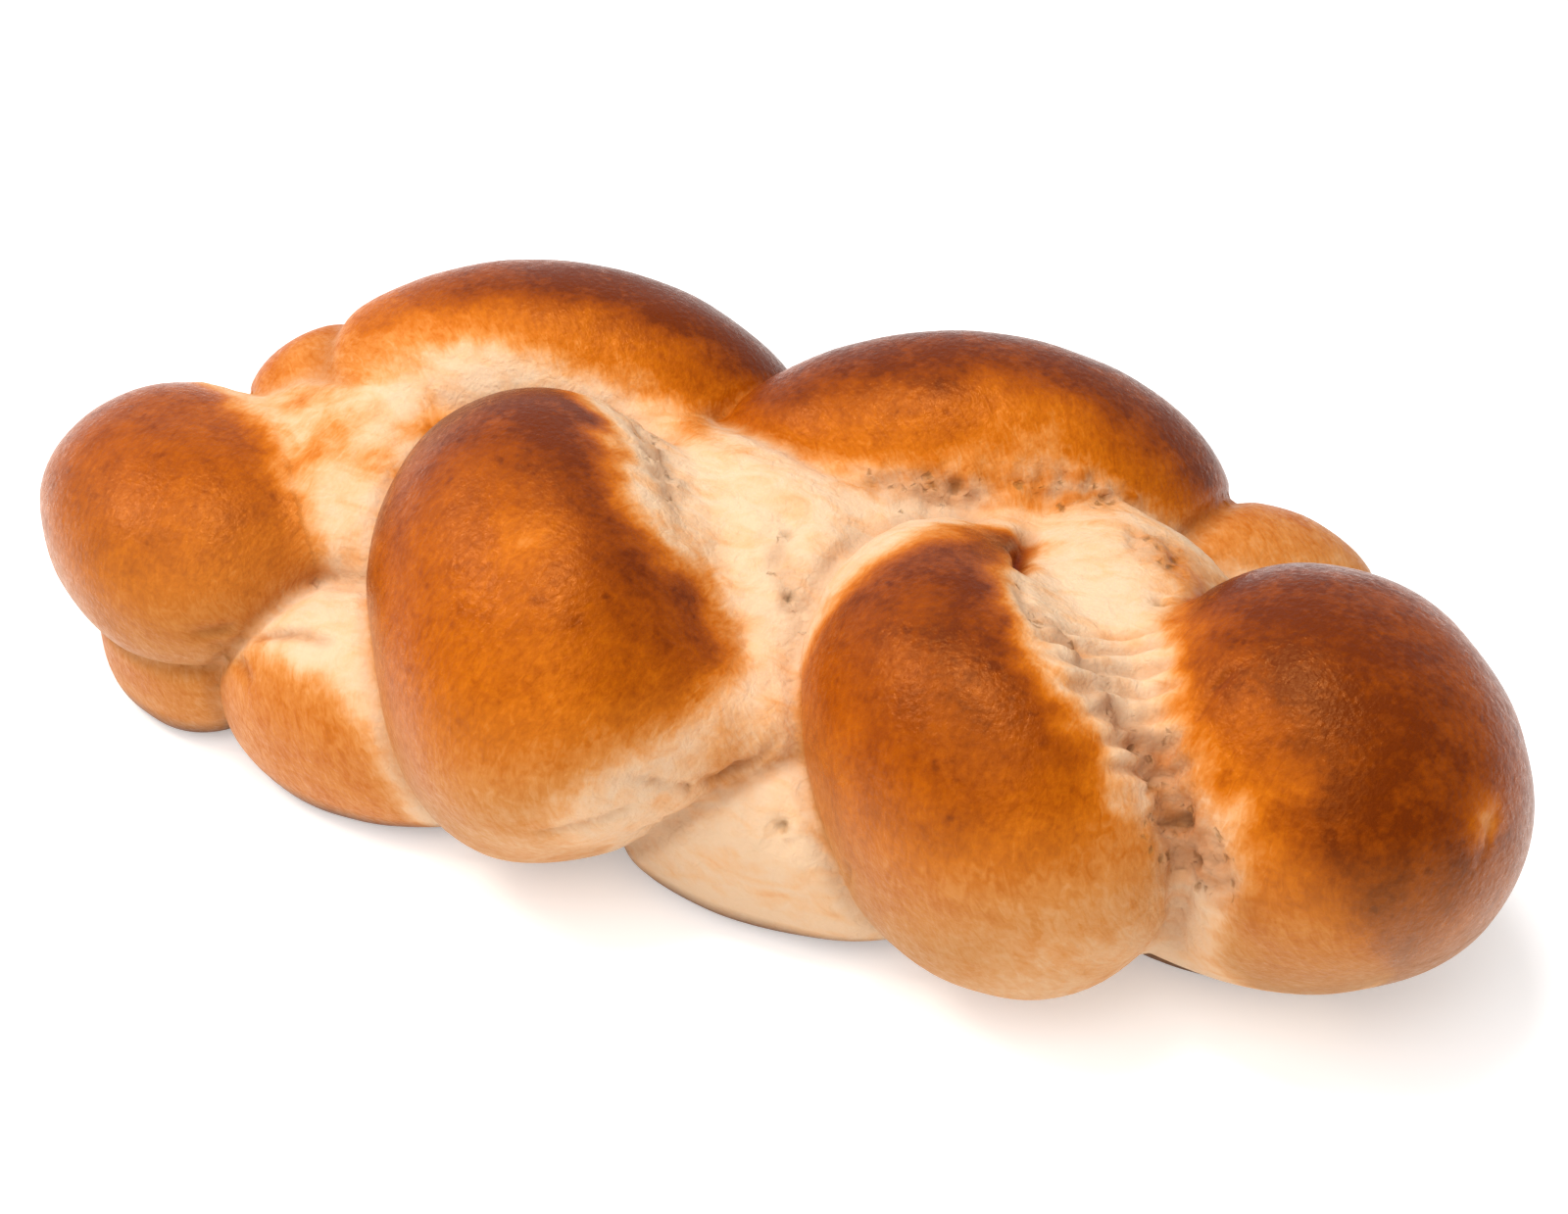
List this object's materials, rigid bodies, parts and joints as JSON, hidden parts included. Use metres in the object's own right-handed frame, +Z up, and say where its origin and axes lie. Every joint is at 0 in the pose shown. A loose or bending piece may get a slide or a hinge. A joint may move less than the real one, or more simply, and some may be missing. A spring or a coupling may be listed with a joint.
{
  "type": "braided loaf",
  "caption": "Long loaf of plaited bread baked in one piece, with swollen crusty lobes on top, low turns at the sides and a flat underside.",
  "frame": {"origin": "middle of the loaf's outline seen from above, at the level of its flat underside", "axes": "+X along the loaf, +Y across it towards the back lobes, +Z up"},
  "size_m": [0.3031, 0.1477, 0.0764],
  "materials": {
    "crust": "egg-washed baked crust, golden brown with pale stretched seams"
  },
  "bodies": {
    "root": {"loaf": "crust"}
  },
  "joints": []
}
